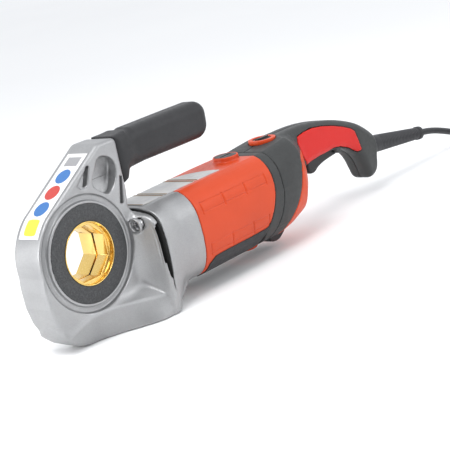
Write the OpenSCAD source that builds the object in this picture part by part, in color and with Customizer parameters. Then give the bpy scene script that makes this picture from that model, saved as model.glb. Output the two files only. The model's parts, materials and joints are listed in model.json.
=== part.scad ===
// Hand-held electric pipe threading machine.
// X runs from the drive socket back to the rear handle, Y is the socket's axis and Z is up.
// The origin is the centre of the drive socket, in the middle of the head.

/* [Head] */
// Distance across the flats of the octagonal drive socket
socket_af = 50; // [47:0.5:51]
// Outer radius of the dark face ring around the socket
face_ring_r = 46; // [45:0.5:47]
// Front face of the head, measured from the middle plane
head_front = 20; // [20:0.5:22]
// Back face of the head, measured from the middle plane
head_back = 18; // [18:0.5:20]
// Radius of the head's round left edge
head_r = 57; // [56:0.5:59]
// Depth of the flat base below the socket's axis
base_drop = 84; // [83:0.5:86]

/* [Motor body] */
// Half of the body's width
body_hw = 46; // [45:0.5:48]
// Depth of the body below the motor's axis
body_drop = 46.5; // [46:0.5:48]
// Height of the body's flat top above the motor's axis
body_rise = 43.5; // [43:0.5:44.5]
// Thickness of the housing walls
wall = 4; // [3.5:0.1:4.2]

/* [Grips] */
// Half of the front grip's width
grip_hw = 17; // [15:0.5:18]
// Half of the rear handle's width
handle_hw = 17; // [16:0.5:18]

/* [Drive] */
// Module of the ring gear on the drive socket
ring_module = 1.5; // [1.5]
// Teeth on the ring gear
ring_teeth = 60; // [60]
// Teeth on the pinion that turns the ring gear
ring_pinion_teeth = 12; // [12]
// Radial clearance of every shaft in its bush
running = 0.05; // [0.03:0.01:0.08]

/* [Cord] */
// Diameter of the power cord
cord_d = 8; // [7:0.5:9]

/* [Hidden] */
$fn = 64;

far = 400;               // longer than any cut needs to be
motor_z = -22;           // height of the motor's axis
motor_top = motor_z + body_rise;
motor_bottom = motor_z - body_drop;
rear_top = motor_top + 5.5;  // top of the rear body at the cap
base_z = -base_drop;

// places along the body
seam_x = 70;             // joint between head and gear housing
gasket_t = 0.6;
shell_x = 123;           // joint between gear housing and motor shell
collar_x = 240;          // joint between motor shell and rear collar
clam_x = 252;            // joint between rear collar and handle shells
cap_x = 293;             // start of the orange rear cap
cap_end = 323;

// front grip
grip_end = 196.5;
grip_bar_end = grip_end - 7;
grip_seat = grip_end - 5;  // the screw's head sits here

// drive socket
octagon_r = socket_af / 2 / cos(22.5);
collar_r = 28.6;         // round lead-in in front of the octagon
socket_lip_r = 29.7;
journal_r = 32.5;
bushing_r = 36;
ring_r = ring_module * ring_teeth / 2;
ring_y0 = -11.5;
ring_y1 = 0.5;

// gear train
ring_pinion_r = ring_module * ring_pinion_teeth / 2;
cross_x = sqrt(pow(ring_r + ring_pinion_r, 2) - pow(motor_z, 2));
ring_line = atan2(motor_z, cross_x);      // direction from the socket to the cross shaft
cross_y0 = -head_front + 4;               // ends of the cross shaft's bores
cross_y1 = head_back - 2;
bevel_y = 10;                             // the bevel pinion shaft runs at this y
bevel_m = 1;
bevel_teeth = 36;
bevel_pinion_teeth = 12;
bevel_r = bevel_m * bevel_teeth / 2;
bevel_pinion_r = bevel_m * bevel_pinion_teeth / 2;
bevel_face = 6;
second_m = 1;
second_teeth = 36;
second_pinion_teeth = 12;
first_m = 0.9;
first_teeth = 40;
first_pinion_teeth = 10;
second_c = second_m * (second_teeth + second_pinion_teeth) / 2;
first_c = first_m * (first_teeth + first_pinion_teeth) / 2;
counter_y = (bevel_y * bevel_y - second_c * second_c + first_c * first_c) / (2 * bevel_y);
counter_z = motor_z - sqrt(first_c * first_c - counter_y * counter_y);
second_line = atan2(counter_z - motor_z, counter_y - bevel_y);
first_line = atan2(motor_z - counter_z, -counter_y);
second_x0 = 84;
second_x1 = 94;
first_x0 = 101;
first_x1 = 109;
plate1_x = [74, 82];
plate2_x = [95.5, 99.5];
plate3_x = [110.5, 118];

// motor
brush_x = 224;
core_x = [148, 198];
commutator_x = [213, 235];
end_plate_x = [240.5, 250];
stator_r = body_rise - wall - 0.4;

// cord
cord_r = cord_d / 2;
relief_start = [470, 0, -31];
relief_end = [572, 0, -45];
coil_inner_r = 32;
coil_outer_r = 60;
coil_h = 3 * cord_d;
coil_centre = [722, -56];
// the cord's way from the strain relief down to the coil, in round numbers
cord_route = [
    [572, 0, -45], [584, 0, -46.8], [596, 0, -49], [608, 0, -52], [620, 0, -55.6], [632, 0, -59.6],
    [644, 0, -63.8], [656, 0, -68], [668, 0, -72], [680, 0, -75.8], [692, 0, -78.6], [704, 0, -80]
];
// the cord's last stretch, from the top of the coil to the plug
tail_route = [
    [722, -20, -64], [733, -22, -63], [743, -27, -60.5], [750, -34, -57], [754.5, -42.5, -53],
    [756, -51.5, -49.5], [756, -59, -47.6], [756, -65, -47]
];
plug_at = [756, -65, -47];

// ---------- helpers ----------

// points of an arc, in order from angle a to angle b
function arc(cx, cy, r, a, b, n = 8) =
    [for (i = [0:n]) let (t = a + (b - a) * i / n) [cx + r * cos(t), cy + r * sin(t)]];

// a rectangle with round corners, as points
function round_rect(hw, hh, r, n = 8) = concat(
    arc(hw - r, hh - r, r, 0, 90, n), arc(r - hw, hh - r, r, 90, 180, n),
    arc(r - hw, r - hh, r, 180, 270, n), arc(hw - r, r - hh, r, 270, 360, n));

// a flat shape drawn in X and Z, standing between two y positions
module slab(y0, y1) {
    translate([0, y1, 0]) rotate([90, 0, 0]) linear_extrude(y1 - y0) children();
}

// a flat shape drawn in Y and Z, running between two x positions
module along_x(x0, x1) {
    translate([x0, 0, 0]) rotate([90, 0, 90]) linear_extrude(x1 - x0) children();
}

module rod_x(x0, x1, y, z, r) {
    translate([x0, y, z]) rotate([0, 90, 0]) cylinder(h = x1 - x0, r = r);
}

module rod_y(y0, y1, x, z, r) {
    translate([x, y1, z]) rotate([90, 0, 0]) cylinder(h = y1 - y0, r = r);
}

module ring_y(y0, y1, r_in, r_out) {
    difference() {
        rod_y(y0, y1, 0, 0, r_out);
        rod_y(y0 - 1, y1 + 1, 0, 0, r_in);
    }
}

// Half of the body's cross-section, from the bottom to the crease beside the flat top,
// as shares of its half width and half height.
body_shape = [
    [0.43, -1], [0.69, -0.89], [0.87, -0.69], [0.97, -0.41], [1, -0.10],
    [0.99, 0.20], [0.935, 0.52], [0.78, 0.77], [0.60, 0.94], [0.40, 1]
];
function body_points(hw, z0, z1) =
    let (c = (z0 + z1) / 2, hh = (z1 - z0) / 2)
    mirrored([for (p = body_shape) [p[0] * hw, c + p[1] * hh]]);

module body_section(grow = 0) {
    offset(delta = grow) polygon(body_points(body_hw, motor_bottom, motor_top));
}

module tube_x(x0, x1, outer = 0, inner = -wall) {
    difference() {
        along_x(x0, x1) body_section(outer);
        along_x(x0 - 1, x1 + 1) body_section(inner);
    }
}

// involute gear teeth
pressure = 25;
function inv(a) = tan(a) * 180 / PI - a;
function tooth_half(n, m, thin, r) =
    let (rb = n * m / 2 * cos(pressure), phi = r <= rb ? 0 : acos(rb / r))
    90 / n - thin * 180 / PI / (n * m / 2) + inv(pressure) - inv(phi);
// radius and half angle along one flank, from root to tip
function flank(n, m, thin, steps) =
    let (rp = n * m / 2, rb = rp * cos(pressure), rf = rp - 1.2 * m, ra = rp + 0.8 * m, r0 = max(rf, rb))
    concat(rf < rb ? [[rf, tooth_half(n, m, thin, rb)]] : [],
           [for (i = [0:steps]) let (r = r0 + (ra - r0) * i / steps) [r, tooth_half(n, m, thin, r)]]);
// the rim as radius and angle, tooth 0 at angle 0; a bevel gear has fewer teeth than its full virtual rim
function rim(n, m, thin, steps, teeth) =
    let (f = flank(n, m, thin, steps), k = len(f))
    [for (t = [0:teeth - 1]) for (i = [0:2 * k - 1]) let (j = min(i, 2 * k - 1 - i), side = i < k ? -1 : 1)
        [f[j][0], 360 * t / n + side * f[j][1]]];
module gear_2d(n, m, turn = 0, thin = 0.05) {
    polygon([for (p = rim(n, m, thin * m, 3, n)) [p[0] * cos(p[1] + turn), p[0] * sin(p[1] + turn)]]);
}

// a bevel gear with its pitch cone's point at the origin and its body towards +Z
module bevel_teeth_solid(n, m, cone, face, turn = 0) {
    r = n * m / 2;
    length = r / sin(cone);
    k = (length - face) / length;
    apex = length / cos(cone);
    big = [for (p = rim(n / cos(cone), m, 0.06 * m, 2, n))
        let (a = p[1] / cos(cone) + turn)
        [p[0] * cos(cone) * cos(a), p[0] * cos(cone) * sin(a), apex - p[0] * sin(cone)]];
    count = len(big);
    root_z = apex - (r / cos(cone) - 1.2 * m) * sin(cone);
    points = concat(big, [for (p = big) p * k], [[0, 0, root_z], [0, 0, root_z * k]]);
    faces = concat(
        [for (i = [0:count - 1]) [i, (i + 1) % count, count + i]],
        [for (i = [0:count - 1]) [(i + 1) % count, count + (i + 1) % count, count + i]],
        [for (i = [0:count - 1]) [2 * count, (i + 1) % count, i]],
        [for (i = [0:count - 1]) [2 * count + 1, count + i, count + (i + 1) % count]]);
    polyhedron(points, faces);
}

// a round tube along a route of points
function unit(v) = v / norm(v);
function tangent(p, i) = unit(p[min(i + 1, len(p) - 1)] - p[max(i - 1, 0)]);
module swept_tube(route, r, sides = 10) {
    rings = [for (i = [0:len(route) - 1])
        let (t = tangent(route, i), side = unit(cross([0, 0, 1], t)), up = cross(t, side))
        for (j = [0:sides - 1]) route[i] + r * (cos(360 * j / sides) * side + sin(360 * j / sides) * up)];
    last = (len(route) - 1) * sides;
    polyhedron(rings, concat(
        [[for (j = [0:sides - 1]) j]],
        [[for (j = [sides - 1:-1:0]) last + j]],
        [for (i = [0:len(route) - 2]) for (j = [0:sides - 1])
            let (a = i * sides + j, b = i * sides + (j + 1) % sides) [a, a + sides, b + sides, b]]));
}

// ---------- head ----------

function head_outline() = concat(
    arc(0, 0, head_r, 128, 185, 14),
    [[-58, -18], [-57.5, -34], [-54, -50], [-48, -64], [-40, -73], [-29, -79], [-14, base_z + 1]],
    [[2, base_z + 0.5], [seam_x - 5, base_z + 0.5], [seam_x - 5, motor_top - 4]],
    [[61, 26], [63.5, 42], [64, 84]],
    arc(59, 87.5, 5, 0, 90, 5),
    arc(44, 81.5, 11, 90, 128, 5));

// outline of the joint face with the gear housing, in Y and Z
joint_half = [
    [37, base_z], [41, -76], [45, -65], [48, -48], [48.8, -28], [48.2, -10],
    [46, 3], [42, 12], [36, 16.5], [26, 19], [13, 20.5]
];
function mirrored(half) = concat(half, [for (i = [len(half) - 1:-1:0]) [-half[i][0], half[i][1]]]);
function joint_outline() = mirrored(joint_half);

// flange screws: the upper pair goes in from the head's side, the lower pair from the housing's side
upper_screws = [[-28, 8], [28, 8]];
lower_screws = [[-24, -75], [24, -75]];
screw_places = concat(upper_screws, lower_screws);

module neck_flare() {
    hull() {
        slab(-head_front + 1, head_back - 1) polygon([[30, -64], [40, -64], [40, 18], [30, 18]]);
        along_x(seam_x - 8, seam_x) polygon(joint_outline());
    }
    hull() {
        slab(-head_front + 0.4, head_back - 0.4)
            polygon([[-20, base_z + 4.5], [10, base_z], [10, base_z + 17], [-20, base_z + 17]]);
        along_x(seam_x - 8, seam_x) polygon([for (p = joint_outline()) if (p[1] < -40) p]);
    }
}

module head_casting() color("gainsboro") difference() {
    union() {
        difference() {
            union() {
                slab(-head_front, head_back) polygon(head_outline());
                neck_flare();
            }
            web_pockets();
            // room for the bevel gears and the front of the shafts
            along_x(cross_x - 22, seam_x + 1) translate([0, motor_z]) polygon(round_rect(15.5, 22, 6));
            along_x(56, seam_x + 1) translate([0, motor_z]) polygon(round_rect(35, 34, 18));
            rod_y(ring_y0 - 1, head_back - 8, cross_x, motor_z, 20);
            for (p = upper_screws) rod_x(seam_x - 22, seam_x - 6, p[0], p[1], 5.8);
            for (p = screw_places) rod_x(seam_x - 20, seam_x + 1, p[0], p[1], 3.05);
        }
        // bosses that carry the bushes
        rod_y(-head_front + 1, -11.8, cross_x, motor_z, 9);
        rod_y(11, head_back - 1, cross_x, motor_z, 9);
        // bar inside the front grip
        slab(-8, 8) polygon(concat([[50, 66], [50, 86]], arc(grip_bar_end - 10, 76, 10, 90, -90, 8)));
    }
    // room for the ring gear, then the seats of the two bushings
    rod_y(ring_y0 - 0.9, ring_y1 + 0.3, 0, 0, ring_r + 2.6);
    rod_y(-head_front - 1, head_back + 1, 0, 0, bushing_r);
    rod_y(-far, -head_front + 4, 0, 0, face_ring_r + 0.05);
    rod_y(head_back - 3, far, 0, 0, face_ring_r + 0.05);
    // round pinion room and bush bores
    rod_y(ring_y0 - 0.9, 2, cross_x, motor_z, 11.5);
    rod_y(cross_y0, cross_y1, cross_x, motor_z, 7);
    rod_x(grip_bar_end - 22, grip_bar_end + 1, 0, 76, 2.5);
}

web_hollow = [
    [22, 58], [31, 50], [38, 45], [43, 45], [52, 53], [56.5, 66], [54, 75], [45, 80], [36, 80], [30, 72]
];

module web_pockets() {
    // shield-shaped hollow in the middle of the web and a slot on each side of it
    slab(-head_front - 1, -head_front + 9) polygon(web_hollow);
    slab(head_back - 8, head_back + 1) polygon(web_hollow);
    slab(-head_front - 1, -head_front + 4) polygon([[12, 60], [16, 59], [25, 75], [21, 76]]);
    slab(-head_front - 1, -head_front + 4) polygon([[51, 31], [55, 30], [61, 55], [58, 57]]);
}

cover_screw_places = [for (a = [45:90:360]) 41 * [cos(a), sin(a)]];

module head_cover_ring() color("silver") difference() {
    ring_y(head_back - 3, head_back + 1.5, socket_lip_r + 0.4, face_ring_r);
    for (p = cover_screw_places) rod_y(0, far, p[0], p[1], 2.05);
}

module cover_screws() color("dimgray") for (p = cover_screw_places) {
    rod_y(head_back + 1.5, head_back + 3.5, p[0], p[1], 3.6);
    rod_y(head_back - 3, head_back + 1.5, p[0], p[1], 2);
}

module face_ring() color("dimgray")
    ring_y(-head_front - 1, -head_front + 4, socket_lip_r + 0.3, face_ring_r);

module front_bushing() color("goldenrod")
    ring_y(-head_front + 4, ring_y0 - 0.9, journal_r + running, bushing_r);

module rear_bushing() color("goldenrod")
    ring_y(7, head_back - 3, journal_r + running, bushing_r);

module drive_socket() color("gold") difference() {
    union() {
        rod_y(-head_front - 1.6, -head_front + 4.3, 0, 0, socket_lip_r);
        rod_y(-head_front + 4.3, head_back - 3.3, 0, 0, journal_r);
        rod_y(head_back - 3.3, head_back + 1.5, 0, 0, socket_lip_r);
    }
    rod_y(-far, far, 0, 0, 24);
    slab(-head_front + 4, head_back + 2) rotate(22.5) circle(r = octagon_r, $fn = 8);
    rod_y(-far, -head_front + 4, 0, 0, collar_r);
    rod_y(-1.2, 1.2, 0, 0, collar_r);
}

module spindle_gear() color("lightslategray") difference() {
    slab(ring_y0, ring_y1) gear_2d(ring_teeth, ring_module, ring_line);
    rod_y(-far, far, 0, 0, journal_r);
}

module retaining_spring() color("silver") rotate([90, 0, 0])
    rotate_extrude(angle = 320) translate([collar_r - 0.95, 0]) circle(r = 0.9, $fn = 16);

module sticker_strip() color("white") {
    // blank strip on the sloping edge of the head
    edge_top = [44 + 11 * cos(128), 81.5 + 11 * sin(128)];
    edge_low = [head_r * cos(128), head_r * sin(128)];
    d = unit(edge_low - edge_top);
    n = [d[1], -d[0]];
    start = edge_top + d * 4;
    end = edge_top + d * 80;
    slab(-head_front + 4, head_back - 4)
        polygon([start + n * 0.02, end + n * 0.02, end + n * 0.42, start + n * 0.42]);
}

module grip_sleeve() color("dimgray") difference() {
    union() {
        slab(-grip_hw + 5, grip_hw - 5) polygon(grip_outline(0));
        slab(-grip_hw, grip_hw) polygon(grip_outline(5));
    }
    slab(-8.05, 8.05) polygon([[50, 65.95], [50, 86.05], [grip_bar_end, 86.05], [grip_bar_end, 65.95]]);
    slab(-far, far) polygon([[0, 0], [64.05, 0], [64.05, 89], [62.5, 92.6], [0, 92.6]]);
    rod_x(grip_bar_end - 1, grip_seat + 1, 0, 76, 2.5);
    rod_x(grip_seat, far, 0, 76, 5);
}

function grip_outline(in) = concat(
    [[57, 95 - in], [65, 48 + in], [73, 50 + in], [79, 55 + in]],
    arc(grip_end - 16, 71, 16 - in, -90, 0, 5), arc(grip_end - 13, 82, 13 - in, 0, 90, 5));

module grip_screw() color("silver") {
    rod_x(grip_seat, grip_seat + 3, 0, 76, 4.9);
    rod_x(grip_bar_end - 20, grip_seat, 0, 76, 2.45);
}

// a cap screw along X with its head's top at x, pointing towards +X or -X
module cap_screw(x, side, p) {
    translate([x, p[0], p[1]]) rotate([0, 90 * side, 0]) {
        difference() {
            cylinder(h = 6, r = 5);
            translate([0, 0, -1]) cylinder(h = 4, r = 2.9, $fn = 6);
        }
        translate([0, 0, 6]) cylinder(h = 19, r = 3);
    }
}

module flange_screws() color("silver") {
    for (p = upper_screws) cap_screw(seam_x - 12, 1, p);
    for (p = lower_screws) cap_screw(seam_x + 18, -1, p);
}

module seam_gasket() color("black") difference() {
    along_x(seam_x, seam_x + gasket_t) offset(delta = -0.6) polygon(joint_outline());
    along_x(seam_x - 1, seam_x + 2) translate([0, motor_z]) polygon(round_rect(35, 34, 18));
    for (p = screw_places) rod_x(0, seam_x + 5, p[0], p[1], 3.05);
}

// ---------- gear housing ----------

module gear_housing() color("gainsboro") difference() {
    union() {
        along_x(seam_x + gasket_t, shell_x) body_section();
        hull() {
            along_x(seam_x + gasket_t, seam_x + gasket_t + 3) polygon(joint_outline());
            along_x(shell_x - 3, shell_x) body_section();
        }
        slab(-36, 36) polygon([
            [seam_x + gasket_t, -60], [seam_x + gasket_t, base_z], [86, base_z],
            [89, base_z + 5], [105, motor_bottom + 2], [105, -60]]);
    }
    along_x(0, far) body_section(-wall);
    for (p = screw_places) rod_x(0, seam_x + 15, p[0], p[1], 3.05);
    for (p = lower_screws) rod_x(seam_x + 12, seam_x + 40, p[0], p[1], 5.8);
    // cooling air slots along the seam
    slab(-far, far) polygon([[seam_x, -48], [seam_x, 2], [seam_x + 5, 2], [seam_x + 5, -44]]);
    translate([seam_x, -30, 12]) cube([6, 38, 30]);
}

module plate_blank(x) along_x(x[0], x[1]) body_section(-wall - 0.4);

module front_gear_plate() color("gray") difference() {
    plate_blank(plate1_x);
    rod_x(0, far, bevel_y, motor_z, 5 + running);
    rod_x(plate1_x[0] + 2, far, counter_y, counter_z, 4 + running);
    for (p = upper_screws) rod_x(0, seam_x + 15, p[0], p[1], 3.05);
}

module mid_gear_plate() color("gray") difference() {
    plate_blank(plate2_x);
    rod_x(0, far, bevel_y, motor_z, 5 + running);
    rod_x(0, far, counter_y, counter_z, 8);
}

module rear_gear_plate() color("gray") difference() {
    plate_blank(plate3_x);
    rod_x(0, plate3_x[1] - 2, counter_y, counter_z, 4 + running);
    rod_x(0, far, 0, motor_z, 11);
}

module pinion_bush(y0, y1) difference() {
    rod_y(y0, y1, cross_x, motor_z, 7);
    rod_y(y0 - 1, y1 + 1, cross_x, motor_z, 5 + running);
}

module pinion_bushes() color("goldenrod") {
    pinion_bush(cross_y0, ring_y0 - 1.1);
    pinion_bush(11, cross_y1);
}

module cross_pinion() color("slategray") {
    translate([cross_x, 0, motor_z]) slab(ring_y0 - 0.5, 1.2)
        gear_2d(ring_pinion_teeth, ring_module, ring_line + 180 + 180 / ring_pinion_teeth);
    rod_y(cross_y0 + 0.2, ring_y0 - 0.5, cross_x, motor_z, 5);
    rod_y(1.2, cross_y1 - 0.2, cross_x, motor_z, 5);
}

module bevel_gear() color("slategray") translate([cross_x, bevel_y, motor_z]) difference() {
    union() {
        rotate([90, 0, 0]) bevel_teeth_solid(bevel_teeth, bevel_m, atan(3), bevel_face, 180 / bevel_teeth);
        rod_y(1.25 - bevel_y, 3.2 - bevel_y, 0, 0, bevel_r - 1);
    }
    rod_y(-far, far, 0, 0, 5);
}

module bevel_pinion_shaft() color("slategray") translate([0, bevel_y, motor_z]) {
    translate([cross_x, 0, 0]) rotate([90, 0, 90])
        bevel_teeth_solid(bevel_pinion_teeth, bevel_m, atan(1 / 3), bevel_face);
    rod_x(cross_x + bevel_r - 3, cross_x + bevel_r + 3, 0, 0, 3.5);
    rod_x(cross_x + bevel_r + 2, 99, 0, 0, 5);
}

module second_stage_gear() color("lightslategray") difference() {
    translate([0, bevel_y, motor_z]) along_x(second_x0, second_x1)
        gear_2d(second_teeth, second_m, second_line);
    rod_x(0, far, bevel_y, motor_z, 5);
}

module countershaft() color("slategray") {
    translate([0, counter_y, counter_z]) along_x(second_x0 - 1, second_x1 + 1)
        gear_2d(second_pinion_teeth, second_m, second_line + 180 + 180 / second_pinion_teeth);
    rod_x(plate1_x[0] + 2.3, second_x0 - 1, counter_y, counter_z, 4);
    rod_x(second_x1 + 1, plate3_x[1] - 2.3, counter_y, counter_z, 4);
}

module first_stage_gear() color("lightslategray") difference() {
    translate([0, counter_y, counter_z]) along_x(first_x0, first_x1)
        gear_2d(first_teeth, first_m, first_line);
    rod_x(0, far, counter_y, counter_z, 4);
}

// ---------- motor ----------

module armature_shaft() color("slategray") {
    translate([0, 0, motor_z]) along_x(first_x0 - 0.5, first_x1 + 0.5)
        gear_2d(first_pinion_teeth, first_m, first_line + 180 + 180 / first_pinion_teeth);
    rod_x(first_x1 + 0.5, 252, 0, motor_z, 5);
}

// n copies of a shape, evenly round the motor's axis
module round_motor(n) {
    for (i = [0:n - 1]) translate([0, 0, motor_z]) rotate([360 * i / n, 0, 0]) children();
}

module armature_core() color("gray") difference() {
    rod_x(core_x[0], core_x[1], 0, motor_z, 24);
    rod_x(0, far, 0, motor_z, 5);
    round_motor(12) translate([0, -1.2, 21]) cube([far, 2.4, 5]);
}

module armature_windings() color("chocolate") difference() {
    union() {
        rod_x(core_x[0] - 7, core_x[0], 0, motor_z, 20);
        rod_x(core_x[1], core_x[1] + 7, 0, motor_z, 20);
    }
    rod_x(0, far, 0, motor_z, 5);
}

module commutator() color("peru") difference() {
    rod_x(commutator_x[0], commutator_x[1], 0, motor_z, 13);
    rod_x(0, far, 0, motor_z, 5);
    round_motor(24) translate([commutator_x[0] + 3, -0.3, 12]) cube([far, 0.6, 3]);
}

module cooling_fan() color("dimgray") difference() {
    union() {
        rod_x(124.5, 127, 0, motor_z, 36);
        rod_x(127, 137, 0, motor_z, 10);
        round_motor(16) translate([127, -0.8, 14]) cube([8, 1.6, 21]);
    }
    rod_x(0, far, 0, motor_z, 5);
}

module ball_bearing(x0, x1, r_out) {
    difference() {
        rod_x(x0, x1, 0, motor_z, r_out);
        rod_x(0, far, 0, motor_z, 5 + running);
    }
}

module front_ball_bearing() color("silver") ball_bearing(plate3_x[0] + 0.5, plate3_x[1], 11);

module rear_ball_bearing() color("silver") ball_bearing(end_plate_x[0], end_plate_x[1] - 1, 11);

module motor_end_plate() color("dimgray") difference() {
    along_x(end_plate_x[0], end_plate_x[1]) body_section(-wall - 0.4);
    rod_x(0, far, 0, motor_z, 11);
}

module stator() color("gray") difference() {
    rod_x(core_x[0] - 1, core_x[1] + 1, 0, motor_z, stator_r);
    rod_x(0, far, 0, motor_z, 24.8);
    for (s = [-1, 1]) translate([0, s * 26 - 9, motor_z - 8]) cube([far, 18, 16]);
}

module stator_windings() color("chocolate") for (x = [core_x[0] - 10, core_x[1] + 1]) difference() {
    rod_x(x, x + 9, 0, motor_z, 38);
    rod_x(0, far, 0, motor_z, 26);
}

module brush_at(side) {
    translate([brush_x, 0, motor_z]) rotate([side > 0 ? 0 : 180, 0, 0]) children();
}

// the lower cap and its boss stand a little further out
module cap_at(side) brush_at(side) translate([0, 0, side < 0 ? 2 : 0]) children();

module brush_holders() color("goldenrod") for (s = [-1, 1]) brush_at(s) difference() {
    translate([-7, -4.5, 16]) cube([14, 9, 21.9]);
    translate([-5.05, -3.05, 15]) cube([10.1, 6.1, 26]);
}

module carbon_brushes() color("black") for (s = [-1, 1]) brush_at(s)
    translate([-5, -3, 13.1]) cube([10, 6, 14]);

module brush_caps() color("black") for (s = [-1, 1]) cap_at(s) difference() {
    union() {
        translate([0, 0, 38]) cylinder(h = 9, r = 8);
        translate([0, 0, 47]) cylinder(h = 3, r = 11.6);
    }
    translate([-8, -1.2, 48.6]) cube([16, 2.4, 3]);
}

module motor_shell() color("orangered") difference() {
    union() {
        along_x(shell_x, collar_x) body_section();
        for (s = [-1, 1]) cap_at(s) {
            translate([0, 0, 36]) cylinder(h = 10, r = 14);
            translate([0, 0, 46]) cylinder(h = 4.3, r1 = 14, r2 = 12.6);
        }
    }
    along_x(0, far) body_section(-wall);
    for (s = [-1, 1]) cap_at(s) cylinder(h = 48.5, r = 8.05);
    for (s = [-1, 1]) cap_at(s) translate([0, 0, 47]) cylinder(h = 9, r = 11.9);
}

// side outline of the soft pad: level under the orange shell, then up to the rear collar
pad_outline = [
    [120, -90], [120, -57], [129, -57], [135, -49], [212, -49],
    [222, -47], [231, -38], [237, -24], [241, -8], [241, -90]
];

module underside_pad() color("dimgray") difference() {
    intersection() {
        along_x(shell_x + 4, collar_x) body_section(0.9);
        slab(-far, far) polygon(pad_outline);
    }
    along_x(0, far) body_section(0.05);
    brush_at(-1) cylinder(h = 60, r = 14.2);
}

module rating_labels() color("whitesmoke") for (x = [[78, 109], [112.5, 153], [156, 188]])
    translate([x[0], -15.5, motor_top]) cube([x[1] - x[0], 31, 0.4]);

// ---------- rear body and handle ----------

module rear_collar() color("dimgray") difference() {
    along_x(collar_x, clam_x) body_section(0.6);
    along_x(0, far) body_section(-wall);
}

// one section of the rear body, as a slab one millimetre thick
module rear_section(x, hw, z0, z1, g) {
    along_x(x, x + 1) offset(delta = -g) polygon(body_points(hw, z0, z1));
}

module rear_body(g = 0) {
    hull() {
        rear_section(clam_x, body_hw + 0.6, motor_bottom - 0.6, motor_top + 0.6, g);
        rear_section(cap_x - 1, 43, -59, rear_top, g);
    }
}

module rear_end(g = 0) {
    hull() {
        rear_section(cap_x, 43, -59, rear_top, g);
        rear_section(308 - g, 33, -48, 22, g);
        rear_section(cap_end - 1 - g, 18, -30, 13, g);
    }
}

function handle_outline() = [
    [270, 10], [270, 22], [300, 28.5], [327, 29], [353, 27.5], [381, 23], [407, 16], [432, 6.5],
    [454, -4.5], [470, -15], [475, -22], [474, -32], [466, -41], [463, -55], [459, -61], [452, -63],
    [446, -61], [441, -50], [434, -38], [424, -28], [412, -20], [399, -15.5], [372, -12.5], [345, -14],
    [330, -18], [318, -28], [300, -30], [270, -20]
];

function handle_cavity() = [
    [262, -12], [262, 21], [300, 24], [327, 24.5], [352, 23], [380, 18.5], [404, 12], [428, 3], [450, -8.5],
    [466, -19], [465, -32], [459, -40], [457, -52], [449, -52], [440, -36], [429, -24], [405, -11],
    [372, -7], [345, -8.5], [310, -12]
];

insert_t = 0.8;

function insert_outline() = concat(
    [[330, 17], [340, 21], [366, 18.5], [391, 12.5], [414, 4.5], [425, -6], [429, -22], [426, -27]],
    [[410, -16], [395, -10], [380, -8.5], [367, -10.5], [345, -11.5], [331, -11]]);

module handle_shell(side) {
    y0 = side < 0 ? -far : 0;
    difference() {
        intersection() {
            union() {
                rear_body();
                slab(-handle_hw + 4, handle_hw - 4) polygon(handle_outline());
                slab(-handle_hw, handle_hw) intersection() {
                    offset(delta = -4) polygon(handle_outline());
                    translate([297, -far]) square(2 * far);
                }
            }
            translate([0, y0, -far / 2]) cube([2 * far, far, far]);
        }
        rear_body(wall);
        slab(-handle_hw + 4, handle_hw - 4) polygon(handle_cavity());
        // trigger slot, insert pocket and the seats of the knob, the cord and the pin
        translate([337.5, -10.5, -40]) cube([60.5, 21, 36]);
        slab(-far, -handle_hw + insert_t) polygon(insert_outline());
        slab(handle_hw - insert_t, far) polygon(insert_outline());
        translate([285, 0, 10]) cylinder(h = 30, r = 10.4);
        translate([285, 0, 25]) cylinder(h = 30, r = 15.05);
        relief_axis() translate([0, 0, -20]) cylinder(h = 60, r = 8.05);
        rod_y(-14, 14, 392, -14, 2);
        if (side > 0) for (p = handle_screw_places) rod_y(handle_hw - 4, far, p[0], p[1], 3.6);
        for (p = handle_screw_places) rod_y(-far, far, p[0], p[1], 1.55);
    }
}

handle_screw_places = [[300, 14], [334, -2], [404, 6], [453, -24], [453, -50]];

module handle_left() color("dimgray") handle_shell(-1);

module handle_right() color("dimgray") handle_shell(1);

module handle_inserts() color("red") {
    difference() {
        slab(-handle_hw, -handle_hw + insert_t) polygon(insert_outline());
        for (p = handle_screw_places) rod_y(-far, 0, p[0], p[1], 1.55);
    }
    difference() {
        slab(handle_hw - insert_t, handle_hw) polygon(insert_outline());
        for (p = handle_screw_places) rod_y(0, far, p[0], p[1], 3.6);
    }
}

module rear_cap() color("orangered") difference() {
    rear_end();
    rear_end(wall - 1);
    slab(-handle_hw - 0.05, handle_hw + 0.05) polygon([[250, -33], [250, 60], [450, 60], [450, -33]]);
}

module rear_foot() color("dimgray") difference() {
    slab(-19, 19) polygon([[243, -69.3], [247, -75], [258, -76.5], [267, -72], [277, -63.7], [253, -69.3]]);
    for (y = [-12, 12]) translate([256, y, -80]) cylinder(h = 7, r = 2.4);
}

module handle_screws() color("silver") for (p = handle_screw_places) {
    rod_y(handle_hw - 4, handle_hw - 1.4, p[0], p[1], 3.5);
    rod_y(-6, handle_hw - 4, p[0], p[1], 1.5);
}

module trigger() color("black") difference() {
    slab(-10, 10) polygon([
        [339, -9], [339, -24], [343, -29], [351, -29], [358, -24.5],
        [372, -21.5], [388, -20], [395, -19.5], [396, -14], [393, -9]]);
    rod_y(-far, far, 392, -14, 2 + running);
}

module trigger_pin() color("silver") rod_y(-13, 13, 392, -14, 2);

module trigger_spring() color("silver") translate([349, 0, -9]) difference() {
    cylinder(h = 10, r = 3);
    translate([0, 0, -1]) cylinder(h = 12, r = 2.2);
}

module trigger_switch() color("darkslategray") translate([345, -9, 1]) cube([38, 18, 15]);

module reversing_knob() color("black") translate([285, 0, 0]) {
    translate([0, 0, 26]) cylinder(h = 2.6, r = 10);
    translate([-9, -2, 28]) cube([18, 4, 2.4]);
    translate([0, 0, 14]) cylinder(h = 12.5, r = 4);
}

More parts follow.
